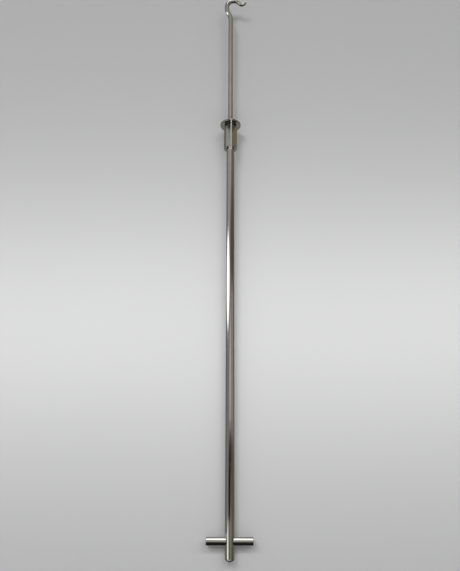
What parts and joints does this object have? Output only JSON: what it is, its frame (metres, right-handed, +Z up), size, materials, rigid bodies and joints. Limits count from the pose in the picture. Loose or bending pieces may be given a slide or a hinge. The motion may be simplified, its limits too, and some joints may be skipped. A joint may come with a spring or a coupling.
{
  "type": "cane bolt",
  "caption": "Long chromed drop rod: a thin hooked rod slides in a tube with a flanged locking collar at its mouth and a T-bar at its foot.",
  "frame": {"origin": "inside top of the hook, where a rail or eye holds the whole part up", "axes": "+Z up along the rod, +X along the T-bar towards the side the hook opens on, +Y to the back"},
  "size_m": [0.08, 0.043, 1.158],
  "materials": {
    "rod_chrome": "polished chrome",
    "tube_chrome": "polished chrome",
    "collar_chrome": "polished chrome",
    "zinc": "zinc plated",
    "brass": "turned",
    "nylon": "moulded",
    "rubber": "matt"
  },
  "bodies": {
    "rod": {"hook_rod": "rod_chrome", "rod_end_nut": "zinc", "rod_end_washer": "zinc"},
    "bush": {"guide_bush": "nylon"},
    "tube": {"outer_tube": "tube_chrome", "foot_plug": "tube_chrome", "foot_grub_screw": "zinc", "bottom_buffer": "rubber", "cross_stud": "zinc", "peg_right": "tube_chrome", "peg_left": "tube_chrome", "retaining_ring": "zinc", "gland_body": "brass", "top_buffer": "rubber", "collet": "nylon"},
    "washer": {"thrust_washer": "brass"},
    "collar": {"collar_sleeve": "collar_chrome", "flange_cap": "collar_chrome", "flange_grub_screw_1": "zinc", "flange_grub_screw_2": "zinc", "wiper_ring": "rubber", "collar_o_ring": "rubber"}
  },
  "joints": [
    {"name": "rod_swivel", "type": "hinge", "parent": "rod", "child": "bush", "pos_m": [-0.007, 0, -0.81496], "axis": [0, 0, 1], "continuous": true},
    {"name": "tube_slide", "type": "slide", "parent": "bush", "child": "tube", "axis": [0, 0, 1], "range_m": [-0.41, 0.255]},
    {"name": "collar_travel", "type": "slide", "parent": "tube", "child": "washer", "axis": [0, 0, 1], "range_m": [0, 0.00115]},
    {"name": "collar_turn", "type": "hinge", "parent": "washer", "child": "collar", "pos_m": [-0.007, 0, -0.33196], "axis": [0, 0, 1], "range_deg": [0, 270]}
  ],
  "couplings": [
    {"joint": "collar_travel", "follows": "collar_turn", "m_per_rad": 0.00023873}
  ]
}
